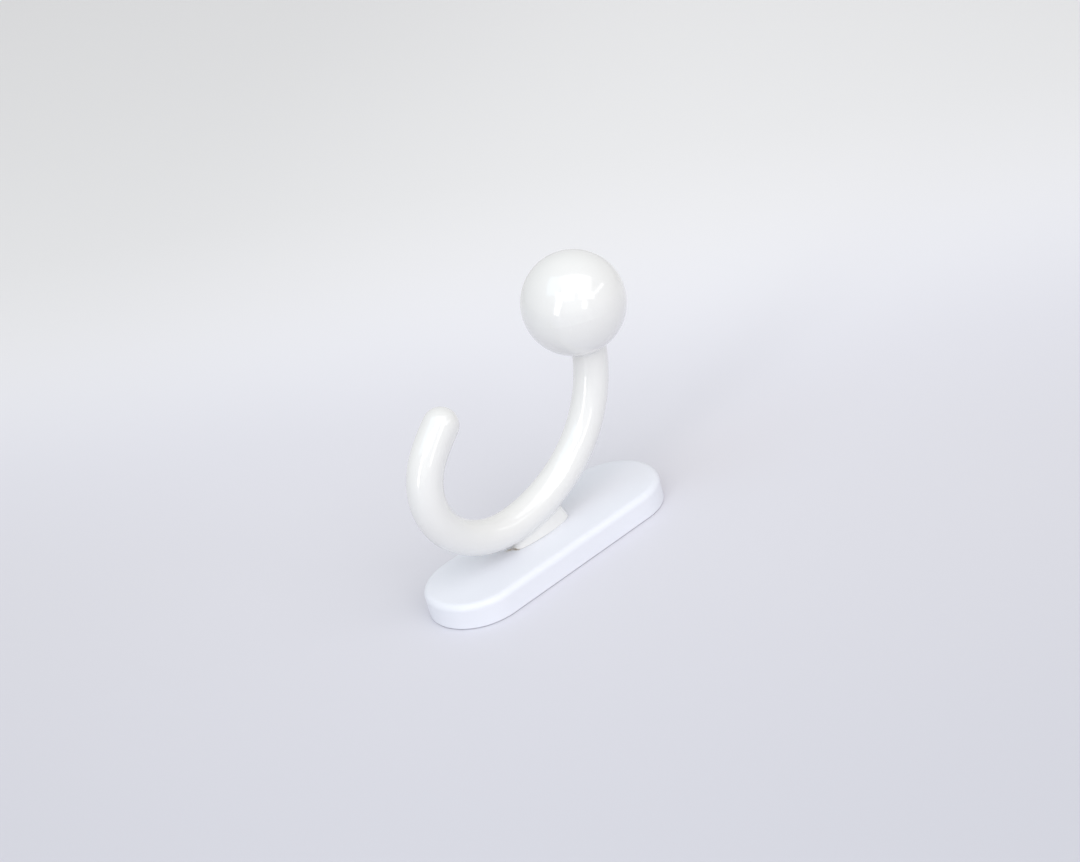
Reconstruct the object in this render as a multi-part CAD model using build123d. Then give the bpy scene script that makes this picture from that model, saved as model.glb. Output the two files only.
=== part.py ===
# White wall hook: a ball-ended coat arm and a J below it, cast in one with the foot that
# sits on an upright stadium backplate. Millimetres. The back face lies on the plane Y = 0
# with its centre at the origin, +Z runs up the wall and the hook stands out towards -Y.
import os

from build123d import *

# Backplate, solid, with a soft front edge
plate_length = 110.0
plate_width = 39.5
plate_thickness = 10.0
plate_front_round = 2.5
plate_back_chamfer = 0.35

# Keyhole slots in the back, for two screws left standing out of the wall
keyhole_spacing = 70.0
keyhole_drop = 8.5
keyhole_entry_diameter = 9.5
keyhole_slot_width = 4.8
keyhole_lip = 2.2
keyhole_depth = 6.2

# Round bar: its lowest point over the plate, then the bends on each side of it.
# A bend is the radius of the centre line and the angle that it turns through.
bar_diameter = 13.6
bar_low_height = -13.6
bar_low_stand = 19.6
upper_bends = ((62.2, 30.0), (51.1, 52.0))
lower_bends = ((32.9, 52.2), (24.9, 78.2), (59.3, 11.8))

# Ball on the end of the upper arm, which runs straight into it past the last bend
ball_diameter = 40.0
ball_height = 41.1
ball_stand = 86.6
ball_root_round = 1.6
ball_pole_lean = 35.0
neck_length = 14.0

# Oval foot under the bar, wider at the plate than at the bar, with a fine groove at the plate
foot_length = 27.5
foot_width = 9.4
foot_end_radius = 3.6
foot_top_length = 20.8
foot_top_width = 8.0
foot_top_end_radius = 3.0
foot_height = 9.5
foot_centre_height = -1.5
foot_root_round = 2.0
foot_base_chamfer = 0.35

# Socket head cap screws that come through the plate into the foot
screw_spacing = 14.0
screw_diameter = 4.0
screw_length = 12.0
screw_head_diameter = 7.0
screw_head_height = 4.0
screw_head_chamfer = 0.4
screw_socket_across_flats = 3.0
screw_socket_depth = 2.0
screw_point_chamfer = 0.5
screw_clearance_diameter = 4.5
screw_recess_diameter = 8.0
screw_recess_depth = 4.8
tapped_depth = 8.5

# On the wall plane x is across and y is up; on the side plane x is up and y is out of the wall
wall = Plane(origin=(0, 0, 0), x_dir=(1, 0, 0), z_dir=(0, -1, 0))
side = Plane(origin=(0, 0, 0), x_dir=(0, 0, 1), z_dir=(1, 0, 0))

screw_heights = [foot_centre_height + sign * screw_spacing / 2 for sign in (-1, 1)]
keyhole_heights = [sign * keyhole_spacing / 2 for sign in (-1, 1)]


def round_hole(height, diameter, start, depth):
    """A straight round hole at a height on the centre line, cut away from the wall."""
    place = wall.offset(start) * Pos(0, height, 0)
    return extrude(place * Circle(diameter / 2), depth)


def keyhole(seat_height):
    """The cut of one keyhole: round entry, narrow slot up to the seat, wider slot behind the lip."""
    entry_height = seat_height - keyhole_drop
    run_centre = Pos(0, seat_height - keyhole_drop / 2, 0)
    slot = SlotCenterToCenter(keyhole_drop, keyhole_slot_width, rotation=90)
    undercut = SlotCenterToCenter(keyhole_drop, keyhole_entry_diameter, rotation=90)
    cut = round_hole(entry_height, keyhole_entry_diameter, 0, keyhole_depth)
    cut += extrude(wall * run_centre * slot, keyhole_depth)
    cut += extrude(wall.offset(keyhole_lip) * run_centre * undercut, keyhole_depth - keyhole_lip)
    return cut


def backplate():
    """The solid plate with its keyholes and the stepped holes for the foot screws."""
    plate = extrude(wall * SlotOverall(plate_length, plate_width, rotation=90), plate_thickness)
    plate = fillet(plate.faces().sort_by(Axis.Y)[0].edges(), plate_front_round)
    plate = chamfer(plate.faces().sort_by(Axis.Y)[-1].edges(), plate_back_chamfer)
    for height in screw_heights:
        plate -= round_hole(height, screw_clearance_diameter, 0, plate_thickness)
        plate -= round_hole(height, screw_recess_diameter, 0, screw_recess_depth)
    for height in keyhole_heights:
        plate -= keyhole(height)
    return plate


def bent_bar(tangent, bends, turn_sign):
    """A round bar from the lowest point through tangent bends, and the line that it follows."""
    point = (bar_low_height, bar_low_stand)
    arcs = []
    for radius, angle in bends:
        arc = JernArc(point, tangent, radius, turn_sign * angle)
        arcs.append(side * arc)
        point = arc @ 1
        tangent = arc % 1
    line = Wire(arcs)
    section = Plane(origin=line @ 0, z_dir=line % 0) * Circle(bar_diameter / 2)
    return sweep(section, path=line), line


def oval(length, width, end_radius):
    """An upright oval of four tangent arcs: two flat ones crossing in points, which are rounded."""
    half_length = length / 2 - end_radius
    half_width = width / 2
    side_radius = (half_length**2 + half_width**2 - end_radius**2) / (width - 2 * end_radius)
    left = Pos(side_radius - half_width, 0) * Circle(side_radius)
    right = Pos(half_width - side_radius, 0) * Circle(side_radius)
    lens = left & right
    return fillet(lens.vertices(), end_radius)


def foot():
    """The oval foot, from the plate's face up into the bar."""
    base = wall.offset(plate_thickness) * Pos(0, foot_centre_height, 0)
    top = wall.offset(plate_thickness + foot_height) * Pos(0, foot_centre_height, 0)
    return loft([
        base * oval(foot_length, foot_width, foot_end_radius),
        top * oval(foot_top_length, foot_top_width, foot_top_end_radius),
    ])


def hook():
    """Bar, ball, rounded tip and foot in one casting, tapped for the screws."""
    upper, upper_line = bent_bar((1, 0), upper_bends, 1)
    lower, lower_line = bent_bar((-1, 0), lower_bends, -1)
    neck_start = Plane(origin=upper_line @ 1, z_dir=upper_line % 1)
    neck = extrude(neck_start * Circle(bar_diameter / 2), neck_length)
    # the sphere's two poles, where its facets meet in a point, lie at the edges of the front view
    ball = Pos(0, -ball_stand, ball_height) * Rot(0, ball_pole_lean, 0) * Sphere(ball_diameter / 2)
    knob = fillet(new_edges(neck, ball, combined=neck + ball), ball_root_round)
    tip = Pos(lower_line @ 1) * Sphere(bar_diameter / 2)
    bar = upper + lower
    pad = foot()
    body = bar + pad
    body = fillet(new_edges(bar, pad, combined=body), foot_root_round)
    body = chamfer(body.faces().sort_by(Axis.Y)[-1].edges(), foot_base_chamfer)
    body = body + knob + tip
    for height in screw_heights:
        body -= round_hole(height, screw_diameter, plate_thickness, tapped_depth)
    return body


def foot_screw(height):
    """One cap screw, seated in the plate's recess."""
    seat = wall.offset(screw_recess_depth) * Pos(0, height, 0)
    head_top = wall.offset(screw_recess_depth - screw_head_height) * Pos(0, height, 0)
    shank = extrude(seat * Circle(screw_diameter / 2), screw_length)
    shank = chamfer(shank.faces().sort_by(Axis.Y)[0].edges(), screw_point_chamfer)
    head = extrude(head_top * Circle(screw_head_diameter / 2), screw_head_height)
    head = chamfer(head.faces().sort_by(Axis.Y)[-1].edges(), screw_head_chamfer)
    socket = RegularPolygon(screw_socket_across_flats / 2, 6, major_radius=False)
    return shank + head - extrude(head_top * socket, screw_socket_depth)


os.makedirs("parts", exist_ok=True)
export_step(backplate(), "parts/backplate.step")
export_step(hook(), "parts/hook.step")
export_step(Compound(children=[foot_screw(height) for height in screw_heights]), "parts/foot_screws.step")
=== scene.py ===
import math

import bpy
from mathutils import Matrix, Vector

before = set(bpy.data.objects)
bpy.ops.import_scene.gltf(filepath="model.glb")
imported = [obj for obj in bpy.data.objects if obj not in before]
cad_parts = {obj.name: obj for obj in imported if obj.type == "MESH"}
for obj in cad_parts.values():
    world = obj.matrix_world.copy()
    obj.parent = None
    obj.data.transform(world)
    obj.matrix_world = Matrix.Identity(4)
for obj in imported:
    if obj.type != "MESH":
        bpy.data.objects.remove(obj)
bpy.context.view_layer.update()
scene = bpy.context.scene
scene.view_settings.view_transform = "Standard"


# Camera
# A short telephoto view from the right, from well out in front and from below, turned so that
# the table lies level in the picture.
picture_right = Vector((0.6476, 0.2405, 0.7230))
picture_up = Vector((-0.2045, -0.8592, 0.4689))
camera_place = Vector((0.54843, -0.38486, -0.36815))
camera_focal_length = 66.67
camera_film_width = 36.0
camera_nearest = 0.01
camera_furthest = 20.0

camera = bpy.data.objects.new("photo_camera", bpy.data.cameras.new("photo_camera"))
scene.collection.objects.link(camera)
camera.data.sensor_fit = "HORIZONTAL"
camera.data.sensor_width = camera_film_width
camera.data.lens = camera_focal_length
camera.data.clip_start = camera_nearest
camera.data.clip_end = camera_furthest
turn = Matrix((picture_right, picture_up, picture_right.cross(picture_up))).transposed()
camera.matrix_world = Matrix.Translation(camera_place) @ turn.to_4x4()
scene.camera = camera


# Table
# The pale matt sheet that the hook lies on, a little behind the plane of the plate's back. It
# is open under the plate and clear from behind, so that the back can be seen and lit as well.
table_gap = 0.0002
table_opening_radius = 0.0189
table_opening_half_run = 0.035
table_opening_corners = 96
table_spread = 90.0
# the sheet's colour paints light and shade over its own lavender tint: darker at the near end, a
# painted bright band further out, and painted shade towards both sides
table_run = (-0.6478, 0.0, 0.7621)
table_tint_and_painted_light = (
    (-0.20, (0.640, 0.640, 0.700, 1.0)),
    (-0.08, (0.694, 0.688, 0.744, 1.0)),
    (0.04, (0.737, 0.729, 0.780, 1.0)),
    (0.13, (0.779, 0.773, 0.834, 1.0)),
    (0.215, (0.870, 0.866, 0.913, 1.0)),
    (0.30, (0.884, 0.875, 0.893, 1.0)),
    (0.42, (0.850, 0.843, 0.848, 1.0)),
    (0.75, (0.830, 0.822, 0.826, 1.0)),
)
table_across = (0.7621, 0.0, 0.6478)
table_half_across = 0.35
table_side_painted_shade = 0.93
table_roughness = 0.45
table_gloss = 0.5


def new_material(name):
    """An empty node material, its nodes, its links and its output node."""
    material = bpy.data.materials.new(name)
    material.use_nodes = True
    nodes = material.node_tree.nodes
    nodes.clear()
    return material, nodes, material.node_tree.links, nodes.new("ShaderNodeOutputMaterial")


def feed(links, socket, value):
    """Links a node's output to a socket, or sets the socket to a number or a vector."""
    if isinstance(value, bpy.types.NodeSocket):
        links.new(value, socket)
    else:
        socket.default_value = value


def worked_out(nodes, links, operation, *values):
    """The result of a Math node on one or two values."""
    step = nodes.new("ShaderNodeMath")
    step.operation = operation
    for socket, value in zip(step.inputs, values):
        feed(links, socket, value)
    return step.outputs["Value"]


def spread(nodes, links, value, from_low, from_high, to_low, to_high, curve="LINEAR"):
    """A value's run from low to high, spread over another run and held at its ends."""
    run = nodes.new("ShaderNodeMapRange")
    run.interpolation_type = curve
    feed(links, run.inputs["Value"], value)
    feed(links, run.inputs["From Min"], from_low)
    feed(links, run.inputs["From Max"], from_high)
    feed(links, run.inputs["To Min"], to_low)
    feed(links, run.inputs["To Max"], to_high)
    return run.outputs["Result"]


def distance_along(nodes, links, place, direction):
    """How far a point of the table lies along a direction."""
    along = nodes.new("ShaderNodeVectorMath")
    along.operation = "DOT_PRODUCT"
    along.inputs[1].default_value = direction
    links.new(place.outputs["Object"], along.inputs[0])
    return along.outputs["Value"]


bpy.ops.object.select_all(action="DESELECT")
bpy.ops.mesh.primitive_circle_add(
    vertices=table_opening_corners,
    radius=table_opening_radius,
    fill_type="NOTHING",
    location=(0, table_gap, 0),
    rotation=(math.radians(90), 0, 0),
)
table = bpy.context.object
table.name = "table"
bpy.ops.object.transform_apply(location=True, rotation=True, scale=True)
for vertex in table.data.vertices:
    vertex.co.z += table_opening_half_run if vertex.co.z > 0 else -table_opening_half_run
bpy.ops.object.mode_set(mode="EDIT")
bpy.ops.mesh.select_all(action="SELECT")
bpy.ops.mesh.extrude_region_move()
bpy.ops.transform.resize(value=(2 * table_spread, 1, table_spread), center_override=(0, table_gap, 0))
bpy.ops.mesh.select_all(action="SELECT")
bpy.ops.mesh.normals_make_consistent(inside=False)
bpy.ops.object.mode_set(mode="OBJECT")

# the sheet's painted side faces the hook, towards -Y
if table.data.polygons[0].normal.y > 0:
    table.data.flip_normals()

table_finish, nodes, links, output = new_material("table_sheet")
place = nodes.new("ShaderNodeTexCoord")

# a new ramp comes with two stops, which take the first two tones
nearest, furthest = table_tint_and_painted_light[0][0], table_tint_and_painted_light[-1][0]
tint_and_painted_light = nodes.new("ShaderNodeValToRGB")
tint_and_painted_light.color_ramp.interpolation = "B_SPLINE"
stops = tint_and_painted_light.color_ramp.elements
for number, (distance, colour) in enumerate(table_tint_and_painted_light):
    stop_place = (distance - nearest) / (furthest - nearest)
    stop = stops[number] if number < 2 else stops.new(stop_place)
    stop.position = stop_place
    stop.color = colour
# the ramp paints light along the sheet, darker at the near end with a bright band further out
run_distance = distance_along(nodes, links, place, table_run)
links.new(spread(nodes, links, run_distance, nearest, furthest, 0.0, 1.0), tint_and_painted_light.inputs["Fac"])

# painted shade, darker towards both sides of the sheet
from_middle = worked_out(nodes, links, "ABSOLUTE", distance_along(nodes, links, place, table_across))
painted_side_shade = spread(
    nodes, links, from_middle, 0.0, table_half_across, 1.0, table_side_painted_shade, curve="SMOOTHSTEP",
)
sheet_colour_with_painted_light = nodes.new("ShaderNodeVectorMath")
sheet_colour_with_painted_light.operation = "SCALE"
links.new(tint_and_painted_light.outputs["Color"], sheet_colour_with_painted_light.inputs[0])
links.new(painted_side_shade, sheet_colour_with_painted_light.inputs["Scale"])

sheet = nodes.new("ShaderNodeBsdfPrincipled")
links.new(sheet_colour_with_painted_light.outputs["Vector"], sheet.inputs["Base Color"])
sheet.inputs["Roughness"].default_value = table_roughness
sheet.inputs["Specular IOR Level"].default_value = table_gloss
clear = nodes.new("ShaderNodeBsdfTransparent")
side_seen = nodes.new("ShaderNodeNewGeometry")
either = nodes.new("ShaderNodeMixShader")
links.new(side_seen.outputs["Backfacing"], either.inputs["Fac"])
links.new(sheet.outputs["BSDF"], either.inputs[1])
links.new(clear.outputs["BSDF"], either.inputs[2])
links.new(either.outputs["Shader"], output.inputs["Surface"])
table.data.materials.append(table_finish)


# Light
# A pale room with one wide window above and behind the camera, seen in the ball as a broken
# bright patch: an upper pane, a cooler one to its left, two low ones, narrow strips and a streak.
room_colour = (1.0, 1.0, 0.99, 1.0)
room_strength = 0.60
backdrop_colour = (0.82, 0.82, 0.83, 1.0)
window_distance = 4.0
ball_centre = Vector((0, -0.0866, 0.0411))
neutral = (1.0, 1.0, 1.0)
faintly_blue = (0.97, 0.98, 1.0)

# watts per square metre of a pane whose brightness is 1
power_per_area = 3.14159

# each pane: its direction from the ball, its level direction, width, height, brightness, colour
window_panes = {
    "upper_pane": (
        (0.505, -0.862, -0.043), (0.573, 0.302, 0.762), 4.67, 3.16, 1.12, (0.98, 0.98, 1.0),
    ),
    "cool_pane": (
        (-0.099, -0.847, -0.522), (0.952, -0.238, 0.192), 2.08, 2.75, 0.9, (0.60, 0.84, 1.0),
    ),
    "lower_left_pane": (
        (0.432, -0.642, -0.633), (0.857, 0.065, 0.511), 2.87, 1.26, 1.6, faintly_blue,
    ),
    "lower_right_pane": (
        (0.890, -0.455, -0.019), (0.212, 0.388, 0.897), 2.39, 0.94, 1.8, neutral,
    ),
    "left_strip": (
        (0.264, -0.312, -0.913), (0.938, 0.304, 0.167), 0.85, 2.41, 2.6, faintly_blue,
    ),
    "right_strip": (
        (0.947, -0.208, -0.244), (0.307, 0.379, 0.873), 0.74, 1.20, 1.6, neutral,
    ),
    "streak": (
        (0.770, -0.374, 0.517), (-0.560, 0.025, 0.828), 2.45, 0.40, 1.4, neutral,
    ),
    "front_fill": (
        (0.783, -0.309, -0.541), (0.568, 0.0, 0.823), 4.0, 2.2, 0.3, neutral,
    ),
}

world = bpy.data.worlds.new("pale_room")
scene.world = world
world.use_nodes = True
nodes, links = world.node_tree.nodes, world.node_tree.links
nodes.clear()
room = nodes.new("ShaderNodeBackground")
room.inputs["Color"].default_value = room_colour
room.inputs["Strength"].default_value = room_strength
backdrop = nodes.new("ShaderNodeBackground")
backdrop.inputs["Color"].default_value = backdrop_colour
backdrop.inputs["Strength"].default_value = 1.0
ray = nodes.new("ShaderNodeLightPath")
seen = worked_out(nodes, links, "MAXIMUM", ray.outputs["Is Camera Ray"], ray.outputs["Is Glossy Ray"])
seen_or_through = worked_out(nodes, links, "MAXIMUM", seen, ray.outputs["Is Transmission Ray"])
either = nodes.new("ShaderNodeMixShader")
links.new(seen_or_through, either.inputs["Fac"])
links.new(room.outputs["Background"], either.inputs[1])
links.new(backdrop.outputs["Background"], either.inputs[2])
links.new(either.outputs["Shader"], nodes.new("ShaderNodeOutputWorld").inputs["Surface"])


def window_pane(name, direction, level, width, height, brightness, colour):
    """A soft lamp seen from the ball in a direction, its width along the level direction."""
    back = Vector(direction).normalized()
    across = (Vector(level) - Vector(level).project(back)).normalized()
    light = bpy.data.lights.new(name, "AREA")
    light.shape = "RECTANGLE"
    light.size = width
    light.size_y = height
    light.energy = brightness * power_per_area * width * height
    light.color = colour
    lamp = bpy.data.objects.new(name, light)
    scene.collection.objects.link(lamp)
    facing = Matrix((across, back.cross(across), back)).transposed()
    lamp.matrix_world = Matrix.Translation(ball_centre + window_distance * back) @ facing.to_4x4()
    lamp.visible_camera = False


for name, facts in window_panes.items():
    window_pane(name, *facts)


# Hook
# Bar, ball and foot are one die casting in aluminium, ground smooth and stoved in a warm
# gloss white. In the corner at the foot's lower end lie two dark patches, a brown grime tint mixed
# with painted contact shade.
hook_colour_light = (0.822, 0.820, 0.809, 1.0)
hook_colour_dark = (0.792, 0.790, 0.779, 1.0)
hook_roughness = (0.11, 0.17)
hook_peel_size = 420.0
hook_peel_height = 0.00002
hook_clear_coat = 1.0
paint_drift_size = 22.0
paint_drift_run = (0.35, 0.65)
paint_handling_size = 95.0
paint_ior = 1.5
clear_coat_ior = 1.6
clear_coat_roughness = 0.085
grime_and_shade_colour = (0.34, 0.25, 0.12, 1.0)
grime_and_shade_strength = 0.85
grime_and_shade_edge_size = 1500.0
grime_and_shade_reach = (0.5, 1.3)

# nearly all of a grain pattern's values lie in this run
grain_run = (0.3, 0.7)

# each grime and painted shade patch: middle, slant in the plane of the plate, half length, depth,
# width
grime_and_shade_patches = (
    ((-0.0011, -0.0101, -0.0162), 1.10, (0.0023, 0.0006, 0.0016)),
    ((0.0009, -0.0101, -0.0150), 0.35, (0.0025, 0.0007, 0.0008)),
)


def grain(nodes, links, place, size, detail):
    """A noise pattern on the piece's own coordinates, finer as its size number rises."""
    pattern = nodes.new("ShaderNodeTexNoise")
    pattern.inputs["Scale"].default_value = size
    pattern.inputs["Detail"].default_value = detail
    links.new(place.outputs["Object"], pattern.inputs["Vector"])
    return pattern.outputs["Fac"]


def two_tone(nodes, links, pattern, run, dark, light):
    """A colour that goes from dark to light as a pattern rises through a run of values."""
    tone = nodes.new("ShaderNodeValToRGB")
    for stop, stop_place, colour in zip(tone.color_ramp.elements, run, (dark, light)):
        stop.position = stop_place
        stop.color = colour
    links.new(pattern, tone.inputs["Fac"])
    return tone.outputs["Color"]


def raised(nodes, links, pattern, height):
    """A bumpy surface whose pattern stands up by a height in metres."""
    relief = nodes.new("ShaderNodeBump")
    relief.inputs["Strength"].default_value = 1.0
    relief.inputs["Distance"].default_value = height
    links.new(pattern, relief.inputs["Height"])
    return relief.outputs["Normal"]


def from_grime_and_shade_patch(nodes, links, place, middle, slant, half_size):
    """How far a point lies from a patch's middle, in half sizes; the patch is grime and painted
    shade.
    """
    dark_patch = nodes.new("ShaderNodeMapping")
    dark_patch.vector_type = "TEXTURE"
    dark_patch.inputs["Location"].default_value = middle
    dark_patch.inputs["Rotation"].default_value = (0, -slant, 0)
    dark_patch.inputs["Scale"].default_value = half_size
    links.new(place.outputs["Object"], dark_patch.inputs["Vector"])
    distance = nodes.new("ShaderNodeVectorMath")
    distance.operation = "LENGTH"
    links.new(dark_patch.outputs["Vector"], distance.inputs[0])
    return distance.outputs["Value"]


def painted_metal(name, light, dark, roughness, peel_size, peel_height, coat):
    """Stoved paint: faint drift of colour and gloss, orange peel, grime and painted shade at the
    foot.
    """
    material, nodes, links, output = new_material(name)
    place = nodes.new("ShaderNodeTexCoord")

    drift = grain(nodes, links, place, paint_drift_size, detail=3.0)
    tone = two_tone(nodes, links, drift, paint_drift_run, dark, light)
    handling = grain(nodes, links, place, paint_handling_size, detail=5.0)
    gloss = spread(nodes, links, handling, *grain_run, *roughness)

    # painted contact shade and a brown grime tint darken the corner at the foot's lower end
    distances = [from_grime_and_shade_patch(nodes, links, place, *dark_patch) for dark_patch in grime_and_shade_patches]
    nearest = worked_out(nodes, links, "MINIMUM", *distances)
    patch_edge_noise = grain(nodes, links, place, grime_and_shade_edge_size, detail=3.0)
    reach = spread(nodes, links, patch_edge_noise, *grain_run, *grime_and_shade_reach)
    soiled_and_shaded = nodes.new("ShaderNodeMix")
    soiled_and_shaded.data_type = "RGBA"
    soiled_and_shaded.inputs["B"].default_value = grime_and_shade_colour
    links.new(spread(nodes, links, nearest, 0.0, reach, grime_and_shade_strength, 0.0), soiled_and_shaded.inputs["Factor"])
    links.new(tone, soiled_and_shaded.inputs["A"])

    peel = grain(nodes, links, place, peel_size, detail=2.0)
    paint = nodes.new("ShaderNodeBsdfPrincipled")
    paint.inputs["IOR"].default_value = paint_ior
    paint.inputs["Coat Weight"].default_value = coat
    paint.inputs["Coat IOR"].default_value = clear_coat_ior
    paint.inputs["Coat Roughness"].default_value = clear_coat_roughness
    links.new(soiled_and_shaded.outputs["Result"], paint.inputs["Base Color"])
    links.new(gloss, paint.inputs["Roughness"])
    links.new(raised(nodes, links, peel, peel_height), paint.inputs["Normal"])
    links.new(paint.outputs["BSDF"], output.inputs["Surface"])
    return material


def dress(node, material):
    """Gives a CAD node its finish in every material slot."""
    for material_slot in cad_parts[node].material_slots:
        material_slot.material = material


dress("hook", painted_metal(
    "warm_gloss_white",
    light=hook_colour_light,
    dark=hook_colour_dark,
    roughness=hook_roughness,
    peel_size=hook_peel_size,
    peel_height=hook_peel_height,
    coat=hook_clear_coat,
))


# Backplate
# A separate plate in a cooler, slightly bluish white with less gloss and no clear coat, its
# front edge rounded and the peel of its paint finer than the hook's.
plate_colour_light = (0.828, 0.844, 0.904, 1.0)
plate_colour_dark = (0.801, 0.817, 0.878, 1.0)
plate_roughness = (0.3, 0.38)
plate_peel_size = 900.0
plate_peel_height = 0.00002
plate_clear_coat = 0.0

# its paint also takes the patch of painted contact shade and grime where the foot meets it
dress("backplate", painted_metal(
    "cool_satin_white",
    light=plate_colour_light,
    dark=plate_colour_dark,
    roughness=plate_roughness,
    peel_size=plate_peel_size,
    peel_height=plate_peel_height,
    coat=plate_clear_coat,
))


# Foot screws
# Two zinc plated socket head cap screws that hold the hook from behind the plate. Their heads
# show fine turning rings round each screw's own axis.
screw_colour_light = (0.66, 0.67, 0.69, 1.0)
screw_colour_dark = (0.50, 0.51, 0.53, 1.0)
screw_roughness = (0.26, 0.4)
screw_spangle_size = 700.0
screw_middle_height = -0.0015
screw_half_spacing = 0.007
ring_pitch = 0.00025
ring_height = 0.000008

zinc_plated, nodes, links, output = new_material("zinc_plated_steel")
place = nodes.new("ShaderNodeTexCoord")
axes = nodes.new("ShaderNodeSeparateXYZ")
links.new(place.outputs["Object"], axes.inputs["Vector"])
from_middle = worked_out(nodes, links, "SUBTRACT", axes.outputs["Z"], screw_middle_height)
to_either_side = worked_out(nodes, links, "ABSOLUTE", from_middle)
across_head = nodes.new("ShaderNodeCombineXYZ")
from_screw = worked_out(nodes, links, "SUBTRACT", to_either_side, screw_half_spacing)
links.new(axes.outputs["X"], across_head.inputs["X"])
links.new(from_screw, across_head.inputs["Z"])
radius = nodes.new("ShaderNodeVectorMath")
radius.operation = "LENGTH"
links.new(across_head.outputs["Vector"], radius.inputs[0])
rings = worked_out(nodes, links, "PINGPONG", radius.outputs["Value"], ring_pitch / 2)
ring_level = spread(nodes, links, rings, 0.0, ring_pitch / 2, 0.0, 1.0)
spangle = grain(nodes, links, place, screw_spangle_size, detail=4.0)

metal = nodes.new("ShaderNodeBsdfPrincipled")
metal.inputs["Metallic"].default_value = 1.0
screw_tone = two_tone(nodes, links, spangle, grain_run, screw_colour_dark, screw_colour_light)
links.new(screw_tone, metal.inputs["Base Color"])
links.new(spread(nodes, links, spangle, *grain_run, *screw_roughness), metal.inputs["Roughness"])
links.new(raised(nodes, links, ring_level, ring_height), metal.inputs["Normal"])
links.new(metal.outputs["BSDF"], output.inputs["Surface"])
dress("foot_screws", zinc_plated)


# Update
# The view layer is brought up to date.
bpy.context.view_layer.update()
